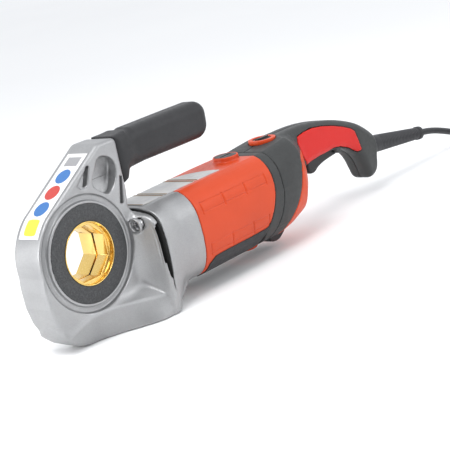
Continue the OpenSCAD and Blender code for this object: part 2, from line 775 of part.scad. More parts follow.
module knob_bezel() color("orangered") translate([285, 0, 0]) difference() {
    translate([0, 0, 25]) cylinder(h = 4.4, r = 15);
    translate([0, 0, 0]) cylinder(h = 40, r = 10.4);
}

// ---------- cord ----------

relief_turn = atan2(relief_end[0] - relief_start[0], relief_end[2] - relief_start[2]);
relief_length = norm(relief_end - relief_start);

module relief_axis() translate(relief_start) rotate([0, relief_turn, 0]) children();

module strain_relief() color("dimgray") relief_axis() difference() {
    union() {
        translate([0, 0, -14]) cylinder(h = 20.5, r = 8);
        translate([0, 0, 6.5]) cylinder(h = relief_length - 12.5, r1 = 10.5, r2 = 7);
        translate([0, 0, relief_length - 6]) cylinder(h = 6, r = 8.2);
    }
    translate([0, 0, -30]) cylinder(h = relief_length, r = cord_r);
}

module power_cord() color("dimgray") swept_tube(cord_route, cord_r);

module cord_coil() color("dimgray") translate([coil_centre[0], coil_centre[1], base_z]) difference() {
    cylinder(h = coil_h, r = coil_outer_r);
    translate([0, 0, -1]) cylinder(h = coil_h + 2, r = coil_inner_r);
}

module cord_tail() color("dimgray") swept_tube(tail_route, cord_r);

// the plug points towards -Y; its blades stand 12.7 mm apart, with the earth pin beside them
blade_gap = 12.7;
module plug_frame() translate(plug_at) rotate([90, 0, 0]) children();

module plug_contacts(start, reach) {
    for (s = [-1, 1]) translate([-4, s * blade_gap / 2 - 0.8, start]) cube([6.4, 1.6, reach]);
    translate([8, 0, start]) cylinder(h = reach + 3, r = 2.4);
}

module plug_body() color("dimgray") plug_frame() difference() {
    union() {
        cylinder(h = 18, r1 = 6, r2 = 8);
        translate([-13, -13, 16]) cube([28, 26, 24]);
    }
    plug_contacts(30, 20);
}

module plug_pins() color("goldenrod") plug_frame() plug_contacts(30, 28);

head_casting();
head_cover_ring();
cover_screws();
face_ring();
front_bushing();
rear_bushing();
drive_socket();
spindle_gear();
retaining_spring();
sticker_strip();
grip_sleeve();
grip_screw();
flange_screws();
seam_gasket();
gear_housing();
pinion_bushes();
cross_pinion();
bevel_gear();
bevel_pinion_shaft();
second_stage_gear();
front_gear_plate();
mid_gear_plate();
rear_gear_plate();
countershaft();
first_stage_gear();
armature_shaft();
armature_core();
armature_windings();
commutator();
cooling_fan();
front_ball_bearing();
rear_ball_bearing();
motor_end_plate();
stator();
stator_windings();
brush_holders();
carbon_brushes();
brush_caps();
motor_shell();
underside_pad();
rating_labels();
rear_collar();
handle_left();
handle_right();
handle_inserts();
rear_cap();
rear_foot();
handle_screws();
trigger();
trigger_pin();
trigger_spring();
trigger_switch();
reversing_knob();
knob_bezel();
strain_relief();
power_cord();
cord_coil();
cord_tail();
plug_body();
plug_pins();
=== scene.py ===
"""Hand-held electric pipe threading machine: the looks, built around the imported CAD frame.

X runs from the drive socket back to the rear handle, Y is the socket's axis and Z is up.
Shapes are written in millimetres and turned into metres when a mesh is made.
"""

import json
import math

import bpy
import numpy as np
import openvdb
from mathutils import Matrix, Vector


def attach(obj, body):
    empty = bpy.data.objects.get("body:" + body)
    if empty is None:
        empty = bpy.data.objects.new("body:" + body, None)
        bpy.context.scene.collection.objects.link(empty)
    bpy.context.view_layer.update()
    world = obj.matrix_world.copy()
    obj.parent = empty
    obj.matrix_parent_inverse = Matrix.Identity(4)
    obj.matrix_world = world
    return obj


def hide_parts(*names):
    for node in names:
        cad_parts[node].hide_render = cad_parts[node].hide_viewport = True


MM = 0.001

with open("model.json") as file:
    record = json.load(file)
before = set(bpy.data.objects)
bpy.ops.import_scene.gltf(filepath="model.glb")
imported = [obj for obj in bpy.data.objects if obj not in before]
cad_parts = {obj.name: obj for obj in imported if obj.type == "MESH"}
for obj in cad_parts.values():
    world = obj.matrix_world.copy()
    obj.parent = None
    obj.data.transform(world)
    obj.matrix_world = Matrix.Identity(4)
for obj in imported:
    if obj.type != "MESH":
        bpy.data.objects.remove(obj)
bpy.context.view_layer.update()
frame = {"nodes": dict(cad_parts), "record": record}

# ---------- places shared by the shapes, in millimetres ----------

FLOOR_Z = -84.0
MOTOR_Z = -22.0
SEAM_X = 70.0        # joint between head and gear housing
SHELL_X = 123.0      # joint between gear housing and motor shell
COLLAR_X = 240.0     # joint between motor shell and rear collar
CLAM_X = 252.0       # joint between rear collar and handle shells
CAP_X = 293.0        # start of the orange rear cap, at the motor's axis
BRUSH_X = 224.0
KNOB_X = 285.0
HEAD_FRONT = -20.0
HEAD_BACK = 18.0
HEAD_R = 57.0
FACE_RING_R = 46.0
CROSS_X = math.sqrt(54.0**2 - 22.0**2)
BODY_HALF_WIDTH = 46.0
BODY_LOW = MOTOR_Z - 46.5
BODY_HIGH = MOTOR_Z + 43.5
WALL = 4.0
FAR = 900.0

# ---------- camera ----------

LENS_MM = 104.0
CAMERA_AT = (-0.736, -0.915, 0.286)
CAMERA_AZIMUTH, CAMERA_ELEVATION, CAMERA_ROLL = (math.radians(a) for a in (-45.7, 14.0, -12.4))


def make_camera():
    """The camera looks down on the head's front left side and is rolled a little."""
    a, e, r = CAMERA_AZIMUTH, CAMERA_ELEVATION, CAMERA_ROLL
    back = Vector((math.sin(a) * math.cos(e), -math.cos(a) * math.cos(e), math.sin(e)))
    level_up = Vector((-math.sin(a) * math.sin(e), math.cos(a) * math.sin(e), math.cos(e)))
    level_right = level_up.cross(back)
    right = math.cos(r) * level_right + math.sin(r) * level_up
    up = -math.sin(r) * level_right + math.cos(r) * level_up
    data = bpy.data.cameras.new("camera")
    data.lens = LENS_MM
    data.sensor_width = 36.0
    data.clip_start, data.clip_end = 0.05, 500.0
    camera = bpy.data.objects.new("camera", data)
    camera.matrix_world = Matrix.Translation(CAMERA_AT) @ Matrix((right, up, back)).transposed().to_4x4()
    bpy.context.scene.collection.objects.link(camera)
    bpy.context.scene.camera = camera


make_camera()

# ---------- materials ----------


class Nodes:
    """A short way to write a material's node tree."""

    def __init__(self, name):
        self.material = bpy.data.materials.new(name)
        self.material.use_nodes = True
        self.tree = self.material.node_tree
        self.shader = self.tree.nodes["Principled BSDF"]
        self.place = self.add("ShaderNodeTexCoord").outputs["Object"]

    def add(self, kind, **settings):
        node = self.tree.nodes.new(kind)
        for key, value in settings.items():
            setattr(node, key, value)
        return node

    def link(self, source, target):
        self.tree.links.new(source, target)

    def set(self, **values):
        for key, value in values.items():
            self.shader.inputs[key.replace("_", " ")].default_value = value

    def noise(self, scale, detail=2.0, stretch=None):
        """Noise from 0 to 1 with about `scale` waves per metre."""
        place = self.place
        if stretch:
            mapping = self.add("ShaderNodeMapping")
            mapping.inputs["Scale"].default_value = stretch
            self.link(place, mapping.inputs["Vector"])
            place = mapping.outputs["Vector"]
        node = self.add("ShaderNodeTexNoise")
        node.inputs["Scale"].default_value = scale
        node.inputs["Detail"].default_value = detail
        self.link(place, node.inputs["Vector"])
        return node.outputs["Fac"]

    def remap(self, value, low, high, to_low, to_high):
        node = self.add("ShaderNodeMapRange")
        for key, number in (("From Min", low), ("From Max", high), ("To Min", to_low), ("To Max", to_high)):
            node.inputs[key].default_value = number
        self.link(value, node.inputs["Value"])
        return node.outputs["Result"]

    def blend(self, share, a, b):
        """Colour a where share is 0 and colour b where it is 1; each is a colour or an output."""
        node = self.add("ShaderNodeMix", data_type="RGBA")
        self.link(share, node.inputs["Factor"])
        for key, colour in ((6, a), (7, b)):
            if isinstance(colour, tuple):
                node.inputs[key].default_value = (*colour, 1.0)
            else:
                self.link(colour, node.inputs[key])
        return node.outputs[2]

    def colour(self, output):
        self.link(output, self.shader.inputs["Base Color"])

    def roughness(self, output):
        self.link(output, self.shader.inputs["Roughness"])

    def bump(self, height, distance, strength=0.5):
        node = self.add("ShaderNodeBump")
        node.inputs["Strength"].default_value = strength
        node.inputs["Distance"].default_value = distance
        self.link(height, node.inputs["Height"])
        if self.shader.inputs["Normal"].is_linked:
            self.link(self.shader.inputs["Normal"].links[0].from_socket, node.inputs["Normal"])
        self.link(node.outputs["Normal"], self.shader.inputs["Normal"])


def shade(colour, share):
    return tuple(min(1.0, c * share) for c in colour)


def plastic(name, colour, rough, grain=1800.0, depth=0.00006, strength=0.35, spread=0.12, coat=0.0):
    """Moulded plastic or rubber: cloudy colour, fine texture and uneven gloss."""
    n = Nodes(name)
    cloud = n.noise(28.0, 4.0)
    n.colour(n.blend(n.remap(cloud, 0.3, 0.7, 0.0, 1.0), shade(colour, 1 - spread), shade(colour, 1 + spread)))
    n.roughness(n.remap(n.noise(240.0, 3.0), 0.3, 0.7, rough - 0.06, rough + 0.06))
    n.bump(n.noise(grain, 2.0), depth, strength)
    n.bump(n.noise(95.0, 3.0), 0.0002, 0.12)
    n.set(Coat_Weight=coat, Coat_Roughness=0.25, Specular_IOR_Level=0.35)
    return n.material


def metal(name, colour, rough, stretch=(1, 1, 1), grain=900.0, strength=0.25, dirt=0.75):
    """Machined metal: fine tool marks, stained in places."""
    n = Nodes(name)
    stain = n.noise(60.0, 5.0)
    n.colour(n.blend(n.remap(stain, 0.35, 0.7, 0.0, 1.0), shade(colour, dirt), colour))
    n.roughness(n.remap(n.noise(grain, 3.0, stretch), 0.3, 0.7, rough - 0.08, rough + 0.1))
    n.bump(n.noise(grain, 3.0, stretch), 0.00004, strength)
    n.set(Metallic=1.0)
    return n.material


def cast_metal():
    """Shot-blasted and lacquered casting: a pebbled skin with faint flow marks."""
    n = Nodes("cast_aluminium")
    cloud = n.noise(16.0, 5.0)
    speck = n.noise(1300.0, 2.0)
    base = n.blend(n.remap(cloud, 0.35, 0.65, 0.0, 1.0), (0.36, 0.362, 0.368), (0.44, 0.442, 0.446))
    n.colour(n.blend(n.remap(speck, 0.35, 0.75, 0.0, 0.35), base, (0.25, 0.25, 0.255)))
    n.roughness(n.remap(n.noise(420.0, 3.0), 0.3, 0.7, 0.40, 0.52))
    n.bump(speck, 0.00022, 0.35)
    n.bump(n.noise(55.0, 4.0), 0.0005, 0.16)
    n.set(Metallic=0.85, Coat_Weight=0.06, Coat_Roughness=0.35)
    return n.material


def ring_metal():
    """Dark pressed ring with a coarse sparkling grain."""
    n = Nodes("face_ring_dark")
    cells = n.add("ShaderNodeTexVoronoi")
    cells.inputs["Scale"].default_value = 1500.0
    n.link(n.place, cells.inputs["Vector"])
    speck = n.remap(cells.outputs["Distance"], 0.05, 0.6, 1.0, 0.0)
    cloud = n.noise(700.0, 3.0)
    base = n.blend(n.remap(cloud, 0.35, 0.7, 0.0, 1.0), (0.030, 0.031, 0.033), (0.075, 0.077, 0.08))
    n.colour(n.blend(n.remap(speck, 0.6, 1.0, 0.0, 0.55), base, (0.16, 0.16, 0.165)))
    n.roughness(n.remap(cloud, 0.3, 0.7, 0.55, 0.75))
    n.bump(speck, 0.0003, 0.5)
    return n.material


def label_face():
    """Blank foil: a silver-white field with a soft rainbow sheen and faint creases."""
    n = Nodes("label_foil")
    cloud = n.noise(70.0, 4.0)
    n.colour(n.blend(n.remap(cloud, 0.35, 0.65, 0.0, 1.0), (0.44, 0.44, 0.45), (0.56, 0.55, 0.53)))
    n.roughness(n.remap(n.noise(300.0, 2.0), 0.3, 0.7, 0.28, 0.4))
    n.bump(n.noise(180.0, 3.0), 0.0001, 0.15)
    n.set(Metallic=0.25)
    return n.material


def printed(name, colour):
    n = Nodes(name)
    cloud = n.noise(900.0, 2.0)
    n.colour(n.blend(n.remap(cloud, 0.3, 0.7, 0.0, 1.0), shade(colour, 0.9), colour))
    n.roughness(n.remap(n.noise(300.0, 2.0), 0.3, 0.7, 0.3, 0.42))
    n.bump(n.noise(600.0, 2.0), 0.00003, 0.15)
    return n.material


def laminated_steel():
    """Stacked sheets seen edge on."""
    return metal("core_steel", (0.30, 0.31, 0.33), 0.45, stretch=(3.0, 0.2, 0.2), grain=600.0, strength=0.5)


MATERIALS = {
    "cast_aluminium": cast_metal(),
    "face_ring_dark": ring_metal(),
    "gold_zinc": metal("gold_zinc", (0.86, 0.60, 0.20), 0.20, stretch=(1, 6, 1), grain=400.0, dirt=0.9),
    "bronze": metal("bronze", (0.55, 0.38, 0.18), 0.4),
    "gear_steel": metal("gear_steel", (0.42, 0.43, 0.45), 0.33),
    "bright_steel": metal("bright_steel", (0.66, 0.66, 0.67), 0.27),
    "black_steel": metal("black_steel", (0.05, 0.045, 0.04), 0.35),
    "core_steel": laminated_steel(),
    "copper_wire": metal("copper_wire", (0.60, 0.24, 0.09), 0.35, stretch=(8, 1, 1), grain=300.0, strength=0.8),
    "carbon": plastic("carbon", (0.02, 0.02, 0.02), 0.6),
    "gasket_black": plastic("gasket_black", (0.015, 0.015, 0.015), 0.7),
    "grip_rubber": plastic("grip_rubber", (0.026, 0.026, 0.028), 0.48, grain=1500.0, depth=0.00012, spread=0.15),
    "orange_plastic": plastic("orange_plastic", (0.60, 0.056, 0.008), 0.42, spread=0.04, coat=0.08),
    "red_plastic": plastic("red_plastic", (0.62, 0.008, 0.004), 0.42, spread=0.03, coat=0.0),
    "dark_plastic": plastic("dark_plastic", (0.040, 0.042, 0.042), 0.5, grain=1600.0, depth=0.0001),
    "black_plastic": plastic("black_plastic", (0.018, 0.018, 0.019), 0.42),
    "label_foil": label_face(),
    "sticker_white": printed("sticker_white", (0.78, 0.78, 0.77)),
    "cord_rubber": plastic("cord_rubber", (0.030, 0.030, 0.033), 0.48, grain=1400.0, depth=0.00009),
    "plug_plastic": plastic("plug_plastic", (0.035, 0.035, 0.038), 0.42),
    "pin_brass": metal("pin_brass", (0.75, 0.62, 0.35), 0.25),
}

PRINT = {
    "label_edge": printed("label_edge", (0.18, 0.10, 0.02)),
    "blue": printed("strip_blue", (0.03, 0.15, 0.42)),
    "red": printed("strip_red", (0.50, 0.04, 0.03)),
    "yellow": printed("strip_yellow", (0.72, 0.66, 0.05)),
    "grey": printed("strip_grey", (0.30, 0.30, 0.31)),
}

# ---------- cord, first of the pieces ----------

CORD_D = 8.0
# the cord's way from the strain relief down to the coil, in round numbers
CORD_ROUTE = [
    (572, 0, -45), (584, 0, -46.8), (596, 0, -49), (608, 0, -52), (620, 0, -55.6), (632, 0, -59.6),
    (644, 0, -63.8), (656, 0, -68), (668, 0, -72), (680, 0, -75.8), (692, 0, -78.6), (704, 0, -80),
]
PLUG_X, PLUG_Z = 756, -47
# the cord's last stretch, from the top of the coil to the plug
TAIL_ROUTE = [
    (722, -20, -64), (733, -22, -63), (743, -27, -60.5), (750, -34, -57), (754.5, -42.5, -53),
    (756, -51.5, -49.5), (756, -59, -47.6), (PLUG_X, -65, PLUG_Z),
]
COIL_CENTRE = (722.0, -56.0)
COIL_WIDE, COIL_NARROW = 56.0, 36.0
COIL_STEPS_PER_TURN = 40
# where the coil's radius and height change, in turns: (turns, radius, height)
COIL_STAGES = (
    (0.0, COIL_WIDE, -80.0), (2.5, COIL_NARROW, -80.0), (2.75, COIL_NARROW, -72.0),
    (5.25, COIL_WIDE, -72.0), (5.5, COIL_WIDE, -64.0), (8.0, COIL_NARROW, -64.0),
)


def smooth_route(points, steps=4):
    """A Catmull-Rom curve through the points, with `steps` pieces between each pair."""
    p = [Vector(q) for q in points]
    p = [2 * p[0] - p[1], *p, 2 * p[-1] - p[-2]]
    made = []
    for i in range(1, len(p) - 2):
        for k in range(steps):
            t = k / steps
            made.append(
                0.5 * (2 * p[i] + (p[i + 1] - p[i - 1]) * t
                       + (2 * p[i - 1] - 5 * p[i] + 4 * p[i + 1] - p[i + 2]) * t**2
                       + (3 * p[i] - p[i - 1] - 3 * p[i + 1] + p[i + 2]) * t**3)
            )
    return made + [p[-2]]


def coil_points():
    """Three layers of two and a half turns each, wound clockwise, in, out and in again."""
    turns, radii, heights = zip(*COIL_STAGES)
    count = int(turns[-1] * COIL_STEPS_PER_TURN)
    made = []
    for i in range(1, count):
        t = i / COIL_STEPS_PER_TURN
        radius, height = np.interp(t, turns, radii), np.interp(t, turns, heights)
        angle = math.pi / 2 - 2 * math.pi * t
        x = COIL_CENTRE[0] + radius * math.cos(angle)
        y = COIL_CENTRE[1] + radius * math.sin(angle)
        made.append(Vector((x, y, height)))
    return made


def make_cord():
    data = bpy.data.curves.new("mains_cord", "CURVE")
    data.dimensions = "3D"
    data.bevel_depth = CORD_D / 2 * MM
    data.bevel_resolution = 5
    data.use_fill_caps = True
    points = smooth_route(CORD_ROUTE) + coil_points() + smooth_route(TAIL_ROUTE)
    spline = data.splines.new("POLY")
    spline.points.add(len(points) - 1)
    for slot, p in zip(spline.points, points):
        slot.co = (*(p * MM), 1.0)
    spline.use_smooth = True
    cord = bpy.data.objects.new("mains_cord", data)
    bpy.context.scene.collection.objects.link(cord)
    data.materials.append(MATERIALS["cord_rubber"])
    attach(cord, "machine")
    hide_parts("power_cord", "cord_coil", "cord_tail")
    return cord


power_cord = make_cord()

# ---------- shapes from signed distances ----------


class Block:
    """A box of sample points. Its x, y and z broadcast to the whole box."""

    def __init__(self, low, high, step):
        self.low, self.step = np.array(low, float), step
        counts = np.ceil((np.array(high) - self.low) / step).astype(int) + 1
        axes = [low[i] + step * np.arange(counts[i], dtype=np.float32) for i in range(3)]
        self.x, self.y, self.z = np.ix_(*(a.astype(np.float32) for a in axes))


def arc(cx, cz, r, start, end, n=8):
    """Points of an arc from angle start to angle end, in degrees."""
    turns = [math.radians(start + (end - start) * i / n) for i in range(n + 1)]
    return [(cx + r * math.cos(t), cz + r * math.sin(t)) for t in turns]


def soften(points, rounds=1):
    """Cuts each corner of a closed outline at a quarter of its sides."""
    for _ in range(rounds):
        made = []
        for (ax, az), (bx, bz) in zip(points, points[1:] + points[:1]):
            made += [(s * ax + (1 - s) * bx, s * az + (1 - s) * bz) for s in (0.75, 0.25)]
        points = made
    return points


def curved(points, steps=3):
    """A smooth open curve through the points, with `steps` pieces between each pair."""
    return [(p.x, p.y) for p in smooth_route([(a, b, 0) for a, b in points], steps)]


def mirrored(half):
    """A closed outline from its right half."""
    return half + [(-a, b) for a, b in reversed(half)]


def outline(points, a, b):
    """Signed distance to a closed outline, negative inside, at coordinates a and b."""
    nearest = np.float32(1e9)
    inside = False
    for (ax, az), (bx, bz) in zip(points, points[1:] + points[:1]):
        ex, ez = bx - ax, bz - az
        wx, wz = a - np.float32(ax), b - np.float32(az)
        t = np.clip((wx * ex + wz * ez) / (ex * ex + ez * ez + 1e-9), 0, 1)
        nearest = np.minimum(nearest, (wx - t * ex) ** 2 + (wz - t * ez) ** 2)
        crosses = (b >= min(az, bz)) & (b < max(az, bz))
        if ez != 0:
            inside = inside ^ (crosses & (wx * ez < wz * ex if ez > 0 else wx * ez > wz * ex))
    return np.where(inside, -1, 1) * np.sqrt(nearest)


def between(value, low, high):
    return np.abs(value - (low + high) / 2) - (high - low) / 2


def rounded(a, b, r):
    """Where both distances are negative, with the edge between them rounded."""
    a, b = a + r, b + r
    return np.minimum(np.maximum(a, b), 0) + np.sqrt(np.maximum(a, 0) ** 2 + np.maximum(b, 0) ** 2) - r


def join(a, b, k=0.0):
    if k == 0:
        return np.minimum(a, b)
    h = np.clip(0.5 + 0.5 * (b - a) / k, 0, 1)
    return b * (1 - h) + a * h - k * h * (1 - h)


def keep(a, b, k=0.0):
    return -join(-a, -b, k)


def cut(a, b, k=0.0):
    return -join(-a, b, k)


def slab(g, points, y0, y1, r=0.0):
    """An outline in X and Z, between two y positions."""
    return rounded(outline(points, g.x, g.z), between(g.y, y0, y1), r)


def rod_y(g, y0, y1, x, z, radius, r=0.0):
    return rounded(np.hypot(g.x - x, g.z - z) - radius, between(g.y, y0, y1), r)


def rod_x(g, x0, x1, y, z, radius, r=0.0):
    return rounded(np.hypot(g.y - y, g.z - z) - radius, between(g.x, x0, x1), r)


def rod_z(g, z0, z1, x, y, radius, r=0.0):
    return rounded(np.hypot(g.x - x, g.y - y) - radius, between(g.z, z0, z1), r)


def box(g, low, high, r=0.0):
    sides = [between(v, low[i], high[i]) + r for i, v in enumerate((g.x, g.y, g.z))]
    outside = np.sqrt(sum(np.maximum(s, 0) ** 2 for s in sides))
    return np.minimum(np.maximum(np.maximum(sides[0], sides[1]), sides[2]), 0) + outside - r


def ease(v):
    v = np.clip(v, 0, 1)
    return v * v * (3 - 2 * v)


def dress(obj, body, slot, *nodes, look=None):
    """Gives a piece its material and body, and hides the CAD nodes that it stands for."""
    obj.data.materials.append(look or MATERIALS[slot])
    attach(obj, body)
    if nodes:
        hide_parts(*nodes)
    return obj


def from_mesh(name, points, faces, smooth=True):
    """A new object from points in millimetres."""
    data = bpy.data.meshes.new(name)
    data.from_pydata([tuple(float(c) * MM for c in p) for p in points], [], faces)
    data.validate()
    if smooth:
        data.shade_smooth()
    obj = bpy.data.objects.new(name, data)
    bpy.context.scene.collection.objects.link(obj)
    return obj


def apply_modifiers(obj):
    deps = bpy.context.evaluated_depsgraph_get()
    data = bpy.data.meshes.new_from_object(obj.evaluated_get(deps))
    obj.modifiers.clear()
    obj.data = data


def from_distance(name, g, d, share=0.5):
    """The surface where the distance is zero, thinned out to `share` of its faces."""
    grid = openvdb.FloatGrid(3 * g.step)
    limit = 3 * g.step
    grid.copyFromArray(np.ascontiguousarray(np.clip(d, -limit, limit), dtype=np.float32))
    points, quads = grid.convertToQuads(isovalue=0.0)
    data = bpy.data.meshes.new(name)
    data.vertices.add(len(points))
    data.vertices.foreach_set("co", ((points * g.step + g.low) * MM).astype(np.float32).ravel())
    data.loops.add(4 * len(quads))
    data.loops.foreach_set("vertex_index", quads[:, ::-1].astype(np.int32).ravel())
    data.polygons.add(len(quads))
    data.polygons.foreach_set("loop_start", np.arange(0, 4 * len(quads), 4, dtype=np.int32))
    data.update(calc_edges=True)
    data.validate()
    obj = bpy.data.objects.new(name, data)
    bpy.context.scene.collection.objects.link(obj)
    if share < 1:
        thin = obj.modifiers.new("thin", "DECIMATE")
        thin.ratio = share
        apply_modifiers(obj)
    obj.data.shade_smooth()
    return obj


# ---------- outlines ----------

# degrees, from the socket's axis to where the head's round edge meets its slope
SLOPE_ANGLE = 128
# the round corner at the top of the slope
SHOULDER_X, SHOULDER_Z, SHOULDER_R = 44, 81.5, 11
JOINT_HALF = 48.8
TRIGGER_PIN = (392, -14)
SPRING_X = 349
# the strain relief: radius of its bore in the handle, and the ends of its axis
RELIEF_THICK = 10.5
RELIEF_START = (470.0, 0.0, -31.0)
RELIEF_END = (572.0, 0.0, -45.0)

HEAD_OUTLINE = (
    arc(0, 0, HEAD_R, SLOPE_ANGLE, 185, 14)
    + [(-58, -18), (-57.5, -34), (-54, -50), (-47.3, -63.5), (-39, -72.5), (-28, -79), (-14, -83)]
    + [(2, FLOOR_Z), (66, FLOOR_Z), (66, 16), (61, 26), (63.5, 42), (64, 84)]
    + arc(59, 87.5, 5, 0, 90, 5)
    + arc(SHOULDER_X, SHOULDER_Z, SHOULDER_R, 90, SLOPE_ANGLE, 5)
)
JOINT_OUTLINE = mirrored([
    (44.5, FLOOR_Z), (45.5, -76), (46.5, -65), (48, -48), (JOINT_HALF, -28), (48.2, -10), (46, 3), (42, 12),
    (36, 16.5), (26, 19), (13, 20.5),
])
# half of the body's section, bottom first; in front its flat top is lower and slightly narrower than at the back
BODY_SIDE = [(19.8, BODY_LOW), (31.7, -63.4), (40, -54.5), (44.6, -42), (46, -28), (45.5, -14.5)]
BODY_FRONT = mirrored(curved(BODY_SIDE + [(43.3, 0), (38.5, 9.5), (32, 16.2), (24, 20.6)]))
BODY_BACK = mirrored(curved(BODY_SIDE + [(43.8, 1), (39.2, 11.5), (32, 19), (25, 22.6)]))
BODY_BACK_HIGH = 22.6
# the section of the CAD walls' inner side
BODY_MIDDLE = mirrored(BODY_SIDE + [(43, 0), (36, 11), (27.6, 18.9), (18.4, BODY_HIGH)])
WEB_HOLLOW = [(22, 58), (31, 50), (38, 45), (43, 45), (52, 53), (57, 66), (54, 75), (45, 80), (36, 80), (30, 71)]
LEFT_SLOT = [(12.5, 59), (17, 59.5), (24.5, 76), (20.5, 77)]
RIGHT_SLOT = [(51.3, 31.5), (55.2, 30.5), (61, 55), (58.2, 57)]
LEFT_PANEL = [(21, 75.5), (5, 62), (9, 58.5), (15, 58)]
HANDLE_OUTLINE = [
    (270, 10), (270, 22), (300, 28.5), (327, 29), (353, 27.5), (381, 23), (407, 16), (432, 6.5),
    (453, -5), (467, -14.5), (474, -23), (477, -34), (470, -43), (468, -54), (462, -62), (451, -65), (441, -63),
    (437, -52), (432, -38), (424, -28), (412, -20), (399, -15.5), (372, -12.5), (345, -14), (330, -18),
    (318, -28), (300, -30), (270, -20),
]
INSERT_OUTLINE = [
    (321, 12), (323, 19.5), (336, 21.5), (349, 22), (368, 19), (386, 14.5), (404, 8.5), (418, 2.5), (424, -2),
    (428, -14), (431, -26), (426, -27), (413, -18.5), (396, -12), (383, -10), (372, -12), (350, -13.5),
    (332, -14.5), (326, -4),
]
TRIGGER_OUTLINE = [
    (339, -9), (339, -24), (343, -29), (351, -29), (358, -24.5), (372, -21.5), (388, -20), (395, -19.5),
    (396, -14), (393, -9),
]
UPPER_SCREWS = [(-28, 8), (28, 8)]
LOWER_SCREWS = [(-24, -75), (24, -75)]

# ---------- head ----------


def neck(g):
    """A concave waist that swells from the head to a thick flange at the joint."""
    share = np.clip((g.x - 47) / 17.5, 0, 1)
    half_width = 20 + 28.8 * share**2.3
    height = 0.82 + 0.14 * ease(share)
    d = outline(soften(JOINT_OUTLINE), g.y * (JOINT_HALF / half_width), (g.z + 30) / height - 30)
    return rounded(d * half_width / JOINT_HALF, between(g.x, 30, SEAM_X), 1.5)


# the foot: x, height of its crease, half width there, half width of the sole
FOOT_SECTIONS = [
    (-50, -67, 19.5, 8), (-21, -58, 20, 9), (-8, -57.3, 21, 11), (4, -57, 23, 14), (14, -57.5, 25.5, 23),
    (32, -59, 30, 35), (44, -60, 34, 42.5), (58, -61.5, 40, 47), (SEAM_X, -63, 46.5, 47.5),
    (SEAM_X + 10, -64, 50, 47.5),
]


def foot_faces(g):
    """Distances to the faces that run from the crease down to the sole, and to those above the crease."""
    xs, *columns = zip(*FOOT_SECTIONS)
    creases, halves, soles = (sum(np.interp(g.x + shift, xs, c) for shift in (-8, -3, 3, 8)) / 4 for c in columns)
    side = np.maximum(-g.y, g.y + 2)
    fall = np.clip((creases - g.z) / (creases - FLOOR_Z), 0, 1)
    lower = (side - halves - (soles - halves) * fall) * 0.85
    upper = (g.z - creases - 0.7 * (halves - side)) * 0.8
    return lower, upper


def foot(g):
    """A wedge that spreads from the narrow keel under the head to the joint."""
    lower, upper = foot_faces(g)
    d = rounded(lower, np.maximum(FLOOR_Z - g.z, upper), 1.5)
    d = keep(d, outline(HEAD_OUTLINE, np.minimum(g.x, 60), g.z), 2.0)
    d = rounded(d, g.x - SEAM_X, 1.0)
    return keep(d, outline(JOINT_OUTLINE, g.y, g.z), 1.0)


def web_marks(g, head):
    """Hollow, slots and shallow panel of the web."""
    floor = HEAD_FRONT + 12 - 0.02 * (g.z - 60) ** 2
    head = cut(head, keep(outline(soften(WEB_HOLLOW), g.x, g.z), g.y - floor, 1.5), 0.9)
    head = cut(head, slab(g, soften(WEB_HOLLOW), HEAD_BACK - 8, HEAD_BACK + 9, 1.0), 2.0)
    head = cut(head, slab(g, LEFT_PANEL, -40, HEAD_FRONT + 1.6, 0.5), 1.2)
    for slot in (LEFT_SLOT, RIGHT_SLOT):
        head = cut(head, slab(g, slot, -40, HEAD_FRONT + 7, 0.5), 0.6)
    return head


